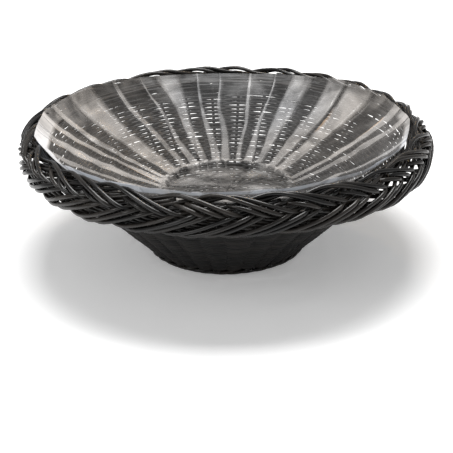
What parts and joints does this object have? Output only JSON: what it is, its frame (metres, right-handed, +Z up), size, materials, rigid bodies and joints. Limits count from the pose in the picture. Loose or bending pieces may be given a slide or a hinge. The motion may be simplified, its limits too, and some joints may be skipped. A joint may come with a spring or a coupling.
{
  "type": "woven fruit basket",
  "caption": "Round flared wicker basket, stained black, with a broad plaited border and a loose clear film liner.",
  "frame": {"origin": "centre of the base, on the surface the basket stands on", "axes": "+Z up along the basket's axis; the basket is round, so +X and -Y are only two chosen sides"},
  "size_m": [0.4494, 0.4494, 0.1469],
  "materials": {
    "border_willow": "satin",
    "side_willow": "satin",
    "stick_willow": "satin",
    "clear_film": "gloss"
  },
  "bodies": {
    "basket": {"base_sticks_pierced": "stick_willow", "base_sticks_through": "stick_willow", "base_weavers_under": "side_willow", "base_weavers_over": "side_willow", "upsett_rod_low": "side_willow", "upsett_rod_middle": "side_willow", "upsett_rod_high": "side_willow", "stakes_left_of_sticks": "side_willow", "stakes_right_of_sticks": "side_willow", "side_weavers_inside": "side_willow", "side_weavers_outside": "side_willow", "border_strand_a_rod_1": "border_willow", "border_strand_a_rod_2": "border_willow", "border_strand_a_rod_3": "border_willow", "border_strand_b_rod_1": "border_willow", "border_strand_b_rod_2": "border_willow", "border_strand_b_rod_3": "border_willow", "border_strand_c_rod_1": "border_willow", "border_strand_c_rod_2": "border_willow", "border_strand_c_rod_3": "border_willow"},
    "liner": {"liner": "clear_film"}
  },
  "joints": [
    {"name": "liner_lift", "type": "slide", "parent": "basket", "child": "liner", "axis": [0, 0, 1], "range_m": [0, 0.1]}
  ]
}
